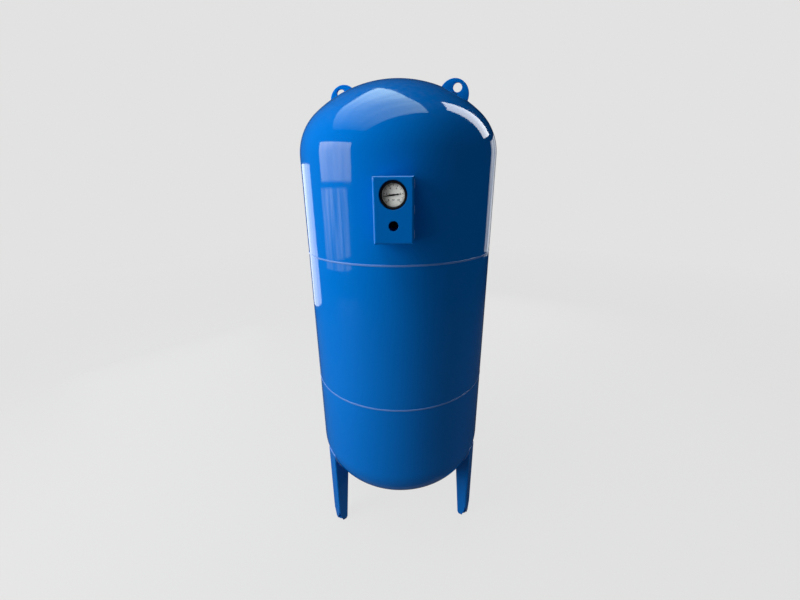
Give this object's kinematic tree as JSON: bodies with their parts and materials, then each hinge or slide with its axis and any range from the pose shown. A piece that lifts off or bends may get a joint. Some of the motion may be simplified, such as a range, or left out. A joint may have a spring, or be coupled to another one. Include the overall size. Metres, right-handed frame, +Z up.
{
  "type": "air receiver tank",
  "caption": "Upright dished-end air receiver on folded legs, with a guarded pressure gauge and charging valve, lifting eyes, an inner bladder and a flanged bottom connection.",
  "frame": {"origin": "on the floor, on the vessel's axis, at the centre of the anchor-hole circle", "axes": "+Z up along the vessel's axis; the gauge and valve face -Y; +X is to the right seen from the gauge side"},
  "size_m": [0.6526, 0.7213, 1.6656],
  "materials": {
    "blue_paint": "high-gloss blue stoved paint",
    "blue_weld": "painted weld bead",
    "galvanised": "zinc-plated steel",
    "bare_steel": "plain machined steel",
    "brass": "turned brass",
    "bronze": "drawn phosphor bronze",
    "black_enamel": "satin black enamel",
    "dial_white": "matt off-white lacquer",
    "needle_black": "matt black lacquer",
    "clear_window": "clear instrument window",
    "black_rubber": "moulded rubber",
    "bladder_rubber": "butyl rubber",
    "fibre": "sealing fibre",
    "cap_plastic": "moulded black nylon"
  },
  "bodies": {
    "vessel": {"upper_head": "blue_paint", "middle_shell": "blue_paint", "lower_head": "blue_paint", "upper_girth_weld": "blue_weld", "lower_girth_weld": "blue_weld", "shell_seam_weld": "blue_weld", "left_leg": "blue_paint", "right_leg": "blue_paint", "rear_leg": "blue_paint", "left_foot_plate": "blue_paint", "right_foot_plate": "blue_paint", "rear_foot_plate": "blue_paint", "leg_welds": "blue_weld", "lifting_eye_welds": "blue_weld", "guard_welds": "blue_weld", "left_lifting_eye": "blue_paint", "right_lifting_eye": "blue_paint", "gauge_guard": "blue_paint", "gauge_socket": "blue_paint", "valve_socket": "blue_paint", "gauge_case": "black_enamel", "gauge_bezel": "black_enamel", "gauge_window": "clear_window", "window_gasket": "black_rubber", "gauge_dial": "dial_white", "dial_screws": "brass", "stop_pin": "brass", "bourdon_tube": "bronze", "hairspring": "bronze", "movement_back_plate": "brass", "movement_front_plate": "brass", "movement_pillars": "brass", "gauge_stem": "brass", "stem_washer": "fibre", "case_screws": "galvanised", "valve_body": "brass", "valve_core_sleeve": "brass", "valve_spring": "bare_steel", "valve_seal": "fibre", "neck_flange": "blue_paint", "counter_flange": "galvanised", "water_connection": "galvanised", "flange_bolts": "galvanised", "flange_nuts": "galvanised", "bladder": "bladder_rubber", "top_ring": "blue_paint", "top_gasket": "black_rubber", "hanger_plug": "galvanised"},
    "needle_assembly": {"needle": "needle_black", "pinion_shaft": "brass"},
    "sector": {"sector_gear": "brass"},
    "link": {"tip_link": "brass", "tube_end_plug": "brass"},
    "valve_core_pin": {"valve_pin": "brass"},
    "cap_washer": {"cap_seal": "black_rubber"},
    "cap": {"valve_cap": "cap_plastic"}
  },
  "joints": [
    {"name": "needle_turn", "type": "hinge", "parent": "vessel", "child": "needle_assembly", "pos_m": [0, -0.37, 1.322], "axis": [0, 1, 0], "range_deg": [-37, 233], "deforming": ["bourdon_tube", "hairspring"]},
    {"name": "sector_turn", "type": "hinge", "parent": "vessel", "child": "sector", "pos_m": [0, -0.37, 1.3076], "axis": [0, 1, 0], "range_deg": [-46.7, 7.5]},
    {"name": "link_turn", "type": "hinge", "parent": "sector", "child": "link", "pos_m": [0.0036, -0.371, 1.30585], "axis": [0, 1, 0], "range_deg": [-7.5, 46.7]},
    {"name": "valve_pin_push", "type": "slide", "parent": "vessel", "child": "valve_core_pin", "axis": [0, 1, 0], "range_m": [0, 0.0015], "stiffness_N_per_m": 400, "springref_m": -0.002, "deforming": ["valve_spring"]},
    {"name": "cap_lift", "type": "slide", "parent": "vessel", "child": "cap_washer", "axis": [0, -1, 0], "range_m": [0, 0.00715]},
    {"name": "cap_turn", "type": "hinge", "parent": "cap_washer", "child": "cap", "pos_m": [0, -0.362, 1.248], "axis": [0, -1, 0], "range_deg": [0, 3240]}
  ],
  "couplings": [
    {"joint": "sector_turn", "follows": "needle_turn", "ratio": -0.2},
    {"joint": "link_turn", "follows": "needle_turn", "ratio": 0.2},
    {"joint": "cap_turn", "follows": "cap_lift", "rad_per_m": 7913.3}
  ]
}
